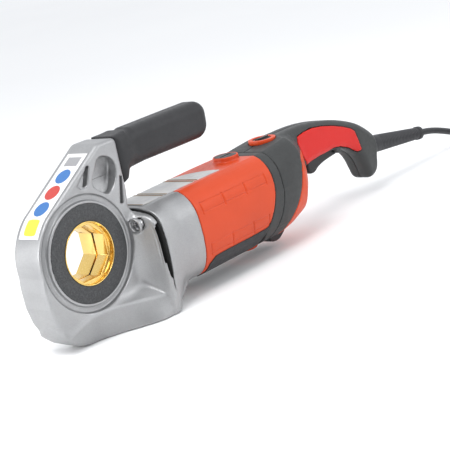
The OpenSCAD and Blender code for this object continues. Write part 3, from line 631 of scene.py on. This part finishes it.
def make_head():
    g = Block((-61, -51, -87), (193, 51, 98), 1.0)
    h = Block((-61, -51, -87), (73, 51, 98), 1.0)
    sides = between(h.y, HEAD_FRONT, HEAD_BACK)
    edge = outline(HEAD_OUTLINE, h.x, h.z)
    head = np.where(h.y < 0, rounded(edge, sides, 4.0), rounded(edge, sides, 2.0))
    head = keep(head, foot_faces(h)[0], 2.0)
    head = join(head, neck(h), 5.0)
    head = keep(join(head, foot(h), 7.0), FLOOR_Z - h.z, 1.0)
    # bosses of the flange screws
    for y, z in UPPER_SCREWS:
        head = join(head, rod_x(h, 50, 58, y, z, 8.0, 2.5), 3.0)
    # raised lip and cove round the face ring
    centre = np.hypot(h.x, h.z)
    head = cut(head, rounded(np.abs(centre - 51.3) - 3.2, between(h.y, -40, HEAD_FRONT + 3.0), 1.5), 1.2)
    head = join(head, rounded(np.abs(centre - 47.3) - 1.3, between(h.y, HEAD_FRONT - 1.2, 0), 0.6), 0.5)
    head = web_marks(h, head)
    # bores, gear rooms and screw seats
    head = cut(head, rod_y(h, -40, 40, 0, 0, 36.0))
    head = cut(head, rod_y(h, -12.4, 0.8, 0, 0, 47.6))
    head = cut(head, rod_y(h, -40, HEAD_FRONT + 4, 0, 0, FACE_RING_R + 0.05))
    head = cut(head, rod_y(h, HEAD_BACK - 3, 40, 0, 0, FACE_RING_R + 0.05))
    head = cut(head, rod_y(h, HEAD_FRONT + 4.3, HEAD_BACK - 2, CROSS_X, MOTOR_Z, 7.0))
    head = cut(head, rod_y(h, -12.4, 2, CROSS_X, MOTOR_Z, 11.5))
    head = cut(head, rod_y(h, -11.5, 10, CROSS_X, MOTOR_Z, 20.0))
    head = cut(head, box(h, (60, -34, -56), (72, 34, 8), 6.0))
    # cooling air slot through the flange, along the joint
    slot = [(64.6, 3), (64.2, -12), (64.6, -30), (67, -47), (72, -49), (72, 6), (66, 6)]
    head = cut(head, np.maximum(slab(h, soften(slot), -60, 60), 33 - np.abs(h.y)), 0.5)
    for y, z in UPPER_SCREWS:
        head = cut(head, rod_x(h, 40, SEAM_X - 6, y, z, 5.6), 0.5)
        head = cut(head, rod_x(h, SEAM_X - 20, 80, y, z, 3.1))
    # bar inside the front grip
    whole = np.full(g.x.shape[:1] + g.y.shape[1:2] + g.z.shape[2:], 5.0, np.float32)
    whole[:head.shape[0]] = head
    whole = np.minimum(whole, slab(g, [(50, 66), (50, 86)] + arc(179.5, 76, 10, 90, -90, 8), -8, 8, 1.0))
    whole = cut(whole, rod_x(g, 167.5, 200, 0, 76, 2.6))
    dress(from_distance("head_cast_body", g, whole, 0.5), "machine", "cast_aluminium", "head_casting")


make_head()

# ---------- strip of plain dots on the head's sloping edge ----------

STRIP_NEAR, STRIP_FAR = -15.5, 13.0


def strip_place(run):
    """Point and outward direction at a distance along the strip, from its top end."""
    slope = math.radians(SLOPE_ANGLE)
    top = Vector((SHOULDER_X + SHOULDER_R * math.cos(slope), 0, SHOULDER_Z + SHOULDER_R * math.sin(slope)))
    bend = Vector((HEAD_R * math.cos(slope), 0, HEAD_R * math.sin(slope)))
    down = (bend - top).normalized()
    out = Vector((down.z, 0, -down.x))
    straight = (bend - top).length
    if run <= straight:
        return top + down * run, out
    angle = slope + (run - straight) / HEAD_R
    out = Vector((math.cos(angle), 0, math.sin(angle)))
    return out * HEAD_R, out


def decal(name, look, rows, thickness, lift, *nodes):
    """A thin closed patch that follows the strip; rows are lists of (run, y)."""
    points, faces = [], []
    count = len(rows[0])
    for height in (lift, lift + thickness):
        for row in rows:
            for run, y in row:
                place, out = strip_place(run)
                points.append(place + out * height + Vector((0, y, 0)))
    half = len(points) // 2
    last = len(rows) - 1
    for i in range(last):
        for k in range(count - 1):
            a = i * count + k
            quad = (a, a + 1, a + count + 1, a + count)
            faces.append(tuple(half + q for q in quad))
            faces.append(tuple(reversed(quad)))
    edge = [k for k in range(count)] + [i * count + count - 1 for i in range(1, last + 1)]
    edge += [last * count + k for k in range(count - 2, -1, -1)] + [i * count for i in range(last - 1, 0, -1)]
    for a, b in zip(edge, edge[1:] + edge[:1]):
        faces.append((b, a, half + a, half + b))
    dress(from_mesh(name, points, faces, smooth=False), "machine", "sticker_white", *nodes, look=look)


def patch(run0, run1, y0, y1, steps=24):
    return [[(run0 + (run1 - run0) * i / steps, y) for y in (y0, (y0 + y1) / 2, y1)] for i in range(steps + 1)]


def dot(run, y, radius, squareness=2.0, steps=24):
    """Rows across a dot; a high squareness turns it into a rounded square."""
    rows = []
    for i in range(steps + 1):
        u = -0.999 + 1.998 * i / steps
        w = radius * (1 - abs(u) ** squareness) ** (1 / squareness)
        rows.append([(run + radius * u, y - w), (run + radius * u, y), (run + radius * u, y + w)])
    return rows


def make_strip():
    middle = (STRIP_NEAR + STRIP_FAR) / 2
    decal("strip_border", PRINT["grey"], patch(7, 106.5, STRIP_NEAR, STRIP_FAR), 0.16, 0.04, "sticker_strip")
    decal("strip_field", MATERIALS["sticker_white"], patch(7.7, 105.8, STRIP_NEAR + 0.7, STRIP_FAR - 0.7), 0.1, 0.2)
    decal("strip_bar", PRINT["grey"], patch(12, 23, middle - 9, middle + 9), 0.08, 0.3)
    for i, (look, run) in enumerate((("blue", 35.5), ("red", 55), ("blue", 74.5))):
        decal(f"strip_dot_{i + 1}", PRINT[look], dot(run, middle, 8.6), 0.08, 0.3)
    decal("strip_square", PRINT["yellow"], dot(94.5, middle, 8.2, 6.0), 0.08, 0.3)


make_strip()

# ---------- gear housing ----------


def body_shape(g):
    """Distance to the outside of the motor body, which flares a little at its top towards the back."""
    share = ease((g.x - 95) / 120)
    return outline(BODY_FRONT, g.y, g.z) * (1 - share) + outline(BODY_BACK, g.y, g.z) * share


def make_gear_housing():
    g = Block((68, -51, -87), (126, 51, 28), 1.0)
    share = ease((g.x - SEAM_X - 1.5) / 28)
    around = outline(soften(JOINT_OUTLINE), g.y, g.z) * (1 - share) + body_shape(g) * share
    skirt = [(60, -50), (60, FLOOR_Z), (86, FLOOR_Z), (89, -79), (100, -68), (104, -50)]
    skirt = rounded(slab(g, skirt, -33.5, 33.5, 3.0), SEAM_X + 0.6 - g.x, 1.0)
    d = join(rounded(around, between(g.x, SEAM_X + 0.6, SHELL_X - 0.3), 0.8), skirt, 5.0)
    d = cut(d, np.maximum(outline(BODY_MIDDLE, g.y, g.z) + WALL, between(g.x, 60, 140)))
    # cooling air slots along the joint
    vent = [(64, -46), (64, 5), (72.2, 3), (72.0, -20), (71.2, -44)]
    d = cut(d, np.maximum(slab(g, vent, -60, 60), 33 - np.abs(g.y)), 0.4)
    # open groove over the top of the joint
    d = cut(d, np.maximum(np.maximum(g.x - 72.4, -3.0 - around), 2 - g.z), 0.5)
    for y, z in UPPER_SCREWS:
        d = cut(d, rod_x(g, 60, 86, y, z, 3.1))
    for y, z in LOWER_SCREWS:
        d = cut(d, rod_x(g, SEAM_X + 12, 112, y, z, 5.8))
    dress(from_distance("gear_housing_cast", g, d, 0.6), "machine", "cast_aluminium", "gear_housing")


make_gear_housing()

# ---------- rating labels ----------

LABEL_PLACES = [(78.0, 109.5), (112.0, 153.5), (156.0, 190.0)]
LABEL_HALF = 18.0
LABEL_EDGE = 2.6


def make_labels():
    """Three blank foils with brown edges at their ends; the last is cut round, with one at its front end only."""
    for i, (x0, x1) in enumerate(LABEL_PLACES):
        g = Block((x0 - 2, -24, 14), (x1 + 2, 27, 24.5), 0.5)
        body = body_shape(g)
        half = LABEL_HALF + 3.5 * ease((g.x - 130) / 70)
        field = rounded(np.maximum(-g.y - half, g.y - 24), between(g.x, x0, x1), 1.5)
        if i == len(LABEL_PLACES) - 1:
            field = keep(field, np.hypot(g.x - x0 + 12, g.y + half) - (x1 - x0 + 12), 1.0)
        foil = np.maximum(np.maximum(body - 0.45, -(body + 0.6)), field)
        ends = np.minimum(g.x - (x0 + LABEL_EDGE), x1 - LABEL_EDGE - g.x if i < 2 else FAR)
        dress(from_distance(f"label_foil_{i + 1}", g, foil, 0.5), "machine", "label_foil", "rating_labels")
        band = np.maximum(np.maximum(body - 0.75, -(body + 0.4)), np.maximum(field + 0.3, ends))
        dress(from_distance(f"label_edge_{i + 1}", g, band, 0.7), "machine", "label_foil", look=PRINT["label_edge"])


make_labels()

# ---------- motor shell ----------


def collar_edge(z):
    """X of the joint between the orange shell and the dark collar at height z."""
    return COLLAR_X - 18 * (np.clip((-z - 8) / 39, 0, 1.6)) ** 1.6


def clam_edge(z):
    """X of the joint between the collar and the handle shells."""
    return CLAM_X - 17 * (np.clip((-z - 14) / 41, 0, 1.6)) ** 1.6


def cap_edge(z):
    """X of the joint between the dark shells and the orange rear cap."""
    return CAP_X - 2 * ease(-z / 10) - 30 * np.clip((-z - 1) / 52, 0, 1.4) ** 1.7 + 40 * ease((z - 3) / 16)


RIB_CELLS = [(131.0, 163.0), (164.0, 196.0), (197.0, 229.0)]


def rib_marks(g, z0, z1, last_x):
    """Depth of the shallow cells on the shell's sides: thin lines, with a short deep tick at each end."""
    depth = 0
    for x0, x1 in RIB_CELLS:
        x1 = min(x1, last_x)
        frame_line = np.abs(np.maximum(between(g.x, x0, x1), between(g.z, z0, z1)))
        depth = depth + 0.7 * ease(1 - frame_line / 0.8)
        for x in (x0, x1):
            tick = np.maximum(np.abs(g.x - x) - 0.2, between(g.z, z0 - 2.2, z1 + 0.6))
            depth = np.maximum(depth, 1.1 * ease(1 - np.maximum(tick, 0) / 0.7))
    return depth * ease((np.abs(g.y) - 36) / 2)


def make_motor_shell():
    g = Block((121, -49, -77), (243, 49, 31), 0.7)
    body = body_shape(g)
    inside = outline(BODY_MIDDLE, g.y, g.z) + WALL
    d = body + rib_marks(g, -3.5, 5.5, 230) + rib_marks(g, -45.0, -36.0, 222)
    d = rounded(d, np.maximum(SHELL_X + 0.2 - g.x, g.x - collar_edge(g.z) + 0.3), 0.5)
    for z0, z1 in ((BODY_HIGH - 6, BODY_HIGH + 6.8), (BODY_LOW - 5.8, BODY_LOW + 6)):
        d = join(d, rod_z(g, z0, z1, BRUSH_X, 0, 13.6, 1.4), 2.5)
    d = cut(d, np.maximum(inside, between(g.x, 100, 260)))
    d = cut(d, rod_z(g, -100, 60, BRUSH_X, 0, 8.1))
    d = cut(d, rod_z(g, BODY_HIGH + 3.5, 60, BRUSH_X, 0, 11.9), 0.3)
    d = cut(d, rod_z(g, -100, BODY_LOW - 2.5, BRUSH_X, 0, 11.9), 0.3)
    dress(from_distance("motor_shell_orange", g, d, 0.4), "machine", "orange_plastic", "motor_shell")
    # soft pad underneath, a little proud of the shell
    pad = [(127, -90), (127, -57), (132, -53), (138, -49), (212, -49), (222, -47), (231, -38), (237, -24)]
    pad += [(240.4, -6), (240.4, -90)]
    d = rounded(body - 1.0, outline(soften(pad), g.x, g.z), 0.8)
    d = rounded(d, g.x - collar_edge(g.z) + 0.3, 0.5)
    d = cut(d, body + 0.3)
    d = cut(d, rod_z(g, -100, 0, BRUSH_X, 0, 14.4), 0.4)
    dress(from_distance("underside_soft_pad", g, d, 0.45), "machine", "grip_rubber", "underside_pad")


make_motor_shell()

# ---------- rear body and handle ----------

# the rear body's sections: x, half width, lowest z, highest z
REAR_SECTIONS = [
    (230, 46.3, -68.9, 22.3), (CLAM_X, 46.5, -69, 22.8), (272, 45.3, -65.5, 25), (CAP_X, 43, -59, 27),
    (308, 33.5, -48, 22), (318, 22, -36, 16), (324, 14, -28, 10),
]


def rear_body(g):
    """The body from the collar to the round rear end."""
    xs, widths, lows, highs = (np.array(v, float) for v in zip(*REAR_SECTIONS))
    half_width = np.interp(g.x, xs, widths)
    low, high = np.interp(g.x, xs, lows), np.interp(g.x, xs, highs)
    scale_y = BODY_HALF_WIDTH / half_width
    scale_z = (BODY_BACK_HIGH - BODY_LOW) / (high - low)
    d = outline(BODY_BACK, g.y * scale_y, (g.z - low) * scale_z + BODY_LOW)
    return keep(d / np.maximum(scale_y, scale_z), g.x - 322.5, 6.0)


def make_rear():
    g = Block((218, -50, -73), (480, 50, 34), 1.0)
    body = rear_body(g)
    half_width = 17 - 6 * ease((g.x - 430) / 45)
    handle = rounded(outline(soften(HANDLE_OUTLINE, 2), g.x, g.z), np.abs(g.y) - half_width, 9.0)
    whole = join(body, handle, 9.0)
    # bosses at the ends of the trigger's pin
    whole = join(whole, rod_y(g, -15, 15, *TRIGGER_PIN, 4.6, 1.5), 3.0)
    hollow = np.maximum(whole + WALL, g.x - 466)
    # seats of the trigger, the knob, the cord and the inserts
    seats = box(g, (337.5, -10.6, -60), (398, 10.6, -3), 1.0)
    seats = join(seats, rod_z(g, 10, 60, KNOB_X, 0, 15.2))
    side = np.abs(g.y)
    insert = np.maximum(outline(INSERT_OUTLINE, g.x, g.z), 10.5 - side)
    # orange cap: the rear body behind its slanting front edge, round the handle's root
    edge = g.x - cap_edge(g.z)
    cap = np.maximum(np.maximum(body, 0.25 - edge), -(handle - 0.4))
    cap = np.maximum(cap, -(body + 3.0))
    dark = np.maximum(whole, -hollow)
    dark = np.maximum(dark, -np.maximum(np.maximum(body - 1.5, -edge), -(handle + 0.01)))
    dark = cut(dark, seats, 0.5)
    dark = cut(dark, insert - 0.25, 0.3)
    dark = np.maximum(dark, RELIEF_THICK - relief_frame(g)[1])
    seam = g.x - clam_edge(g.z)
    collar = rounded(dark, np.maximum(seam + 0.25, collar_edge(g.z) + 0.1 - g.x), 0.5)
    near, far = (rounded(rounded(dark, 0.2 - seam, 0.5), 0.12 + s * g.y, 0.3) for s in (1, -1))
    red = np.maximum(rounded(whole - 0.5, insert, 0.4), -(whole + 1.2))
    pieces = (
        ("rear_collar_dark", collar, "dark_plastic", ["rear_collar"]),
        ("handle_shell_near", near, "dark_plastic", ["handle_left"]),
        ("handle_shell_far", far, "dark_plastic", ["handle_right"]),
        ("rear_cap_orange", cap, "orange_plastic", ["rear_cap"]),
        ("handle_insert_near", np.maximum(red, g.y), "red_plastic", ["handle_inserts"]),
        ("handle_insert_far", np.maximum(red, -g.y), "red_plastic", ["handle_inserts"]),
    )
    for name, d, slot, nodes in pieces:
        dress(from_distance(name, g, d, 0.5), "machine", slot, *nodes)


def relief_frame(g):
    """Distance along and away from the strain relief's axis."""
    start, end = np.array(RELIEF_START), np.array(RELIEF_END)
    way = (end - start) / np.linalg.norm(end - start)
    px, py, pz = g.x - start[0], g.y - start[1], g.z - start[2]
    along = px * way[0] + py * way[1] + pz * way[2]
    away = np.sqrt(np.maximum(px**2 + py**2 + pz**2 - along**2, 0))
    # past the handle's end there is no bore to cut
    return along, away + np.maximum(-14 - along, 0)


make_rear()


def make_strain_relief():
    """Tapered sleeve with a pebbled, faintly ringed skin and a plain collar at its end."""
    g = Block((453, -12, -58), (575, 12, -16), 0.5)
    along, away = relief_frame(g)
    length = math.dist(RELIEF_START, RELIEF_END)
    radius = np.interp(along, [-14, 6, length - 7, length - 6.2, length], [10.4, 10.4, 7.2, 8.2, 8.2])
    skin = ease((along - 10) / 3) * ease((length - 9 - along) / 3)
    radius = radius + skin * 0.22 * np.sin(along * 2 * math.pi / 3.2)
    d = rounded(away - radius, between(along, -14, length), 0.8)
    d = cut(d, away - CORD_D / 2 - 0.05)
    dress(from_distance("strain_relief_sleeve", g, d, 0.4), "machine", "cord_rubber", "strain_relief")


make_strain_relief()


def make_plug():
    """Moulded plug with a flared neck and finger grooves."""
    g = Block((740, -108, -63), (774, -62, -31), 0.6)
    d = box(g, (743, -105, -60), (771, -81, -34), 4.5)
    neck_r = 6 + 2 * np.clip((-65 - g.y) / 18, 0, 1)
    d = join(d, rounded(np.hypot(g.x - PLUG_X, g.z - PLUG_Z) - neck_r, between(g.y, -85, -65), 1.0), 4.0)
    grooves = 0.8 * ease(np.cos((g.y + 87) * 2 * math.pi / 4.5)) * ease(1 - np.abs(g.y + 91) / 9)
    d = d + grooves * ease((np.abs(g.z - PLUG_Z) - 9) / 3)
    for z in (-47 - 6.35, -47 + 6.35):
        d = cut(d, box(g, (751.9, -115, z - 0.85), (758.5, -94.9, z + 0.85)))
    d = cut(d, rod_y(g, -115, -94.9, 764, -47, 2.45))
    return dress(from_distance("plug_moulding", g, d, 0.5), "machine", "plug_plastic", "plug_body")


plug = make_plug()


def make_rear_foot():
    """Round-edged wedge under the collar with two screw holes."""
    g = Block((240, -21, -79), (280, 21, -61), 0.6)
    side = soften([(243, -69), (247, -75), (258, -76.5), (267, -72), (278, -63), (262, -66.5), (250, -69)])
    d = slab(g, side, -19, 19, 1.5)
    for y in (-12, 12):
        d = cut(d, rod_z(g, -80, -73, 256, y, 2.4), 0.4)
    dress(from_distance("rear_foot_wedge", g, d, 0.5), "machine", "grip_rubber", "rear_foot")


make_rear_foot()


def make_trigger():
    g = Block((336, -13, -32), (400, 13, -5), 0.6)
    d = slab(g, soften(TRIGGER_OUTLINE, 2), -10, 10, 2.5)
    d = cut(d, rod_y(g, -20, 20, *TRIGGER_PIN, 2.1))
    # seat that the return spring sinks into
    d = cut(d, rod_z(g, -14, 0, SPRING_X, 0, 4.0))
    dress(from_distance("trigger_lever", g, d, 0.6), "trigger", "black_plastic", "trigger")


make_trigger()

# ---------- front grip ----------


def make_grip():
    g = Block((51, -20, 44), (199, 20, 98), 0.8)
    sleeve = [(61.5, 94.4), (66, 48), (73, 51), (78, 58)]
    sleeve += arc(181.5, 73, 15.5, -90, 0, 5) + arc(184.5, 82.5, 13, 0, 90, 5)
    d = slab(g, soften(sleeve), -17, 17, 12.0)
    half_width = 18.4 - 2.4 * ease((g.x - 64) / 30)
    collar = outline([(63, 93.4), (64, 90), (65.5, 47), (73, 49.5), (77, 60), (86, 70), (82, 93.6)], g.x, g.z)
    d = join(d, rounded(collar, np.abs(g.y) - half_width, 7.0), 9.0)
    d = cut(d, slab(g, [(0, 0), (64.1, 0), (64.1, 88), (62.5, 92.7), (0, 92.7)], -60, 60))
    d = cut(d, box(g, (40, -8.05, 65.95), (189.5, 8.05, 86.05)))
    d = cut(d, rod_x(g, 191.5, 240, 0, 76, 5.2), 0.5)
    d = cut(d, rod_x(g, 180, 240, 0, 76, 2.6))
    dress(from_distance("front_grip_rubber", g, d, 0.5), "machine", "grip_rubber", "grip_sleeve")


make_grip()

# ---------- carried CAD nodes ----------


def finish_cad_nodes():
    """Gives every CAD node its slot's material, and rounds the edges of what shows."""
    slots = {p["node"]: p["material_slot"] for p in frame["record"]["subparts"]}
    for name, obj in frame["nodes"].items():
        obj.data.materials.clear()
        obj.data.materials.append(MATERIALS[slots[name]])
        if obj.hide_render:
            continue
        weld = obj.modifiers.new("weld", "WELD")
        weld.merge_threshold = 0.00001
        bevel = obj.modifiers.new("bevel", "BEVEL")
        bevel.width = 0.0004
        bevel.segments = 2
        bevel.limit_method = "ANGLE"
        bevel.angle_limit = math.radians(38)
        bevel.harden_normals = True
        obj.data.shade_smooth()


finish_cad_nodes()

# ---------- floor and light ----------


def make_floor():
    n = Nodes("floor")
    cloud = n.noise(0.8, 2.0)
    n.colour(n.blend(n.remap(cloud, 0.3, 0.7, 0.0, 1.0), (0.92, 0.92, 0.92), (0.94, 0.94, 0.94)))
    n.set(Roughness=0.9)
    half = 60000.0
    z = FLOOR_Z - 0.05
    corners = [(-half, -half, z), (half, -half, z), (half, half, z), (-half, half, z)]
    floor = from_mesh("floor", corners, [(0, 1, 2, 3)])
    floor.data.materials.append(n.material)


def area_light(name, at, target, size, power):
    data = bpy.data.lights.new(name, "AREA")
    data.shape = "DISK"
    data.size = size
    data.energy = power
    light = bpy.data.objects.new(name, data)
    light.location = at
    light.rotation_euler = (Vector(target) - Vector(at)).to_track_quat("-Z", "Y").to_euler()
    bpy.context.scene.collection.objects.link(light)


def make_world():
    """A bright dome, a little darker low down in front, where a studio is open."""
    world = bpy.data.worlds.new("studio")
    world.use_nodes = True
    tree = world.node_tree
    background = tree.nodes["Background"]
    place = tree.nodes.new("ShaderNodeTexCoord")
    dark_way = tree.nodes.new("ShaderNodeVectorMath")
    dark_way.operation = "DOT_PRODUCT"
    dark_way.inputs[1].default_value = Vector((-0.62, -0.74, 0.1)).normalized()
    tree.links.new(place.outputs["Generated"], dark_way.inputs[0])
    remap = tree.nodes.new("ShaderNodeMapRange")
    for key, value in (("From Min", 0.55), ("From Max", 1.0), ("To Min", 1.06), ("To Max", 0.25)):
        remap.inputs[key].default_value = value
    remap.interpolation_type = "SMOOTHSTEP"
    tree.links.new(dark_way.outputs["Value"], remap.inputs["Value"])
    tree.links.new(remap.outputs["Result"], background.inputs["Strength"])
    background.inputs["Color"].default_value = (0.95, 0.97, 1.0, 1.0)
    bpy.context.scene.world = world


make_floor()
make_world()
area_light("key", (-0.7, -0.3, 1.5), (0.1, 0, 0), 0.9, 16)
area_light("fill", (0.9, -1.5, 0.9), (0.2, 0, 0), 1.2, 7)
area_light("left", (-1.1, 0.55, 0.35), (0, 0, 0), 0.5, 6)
bpy.context.scene.view_settings.view_transform = "Standard"
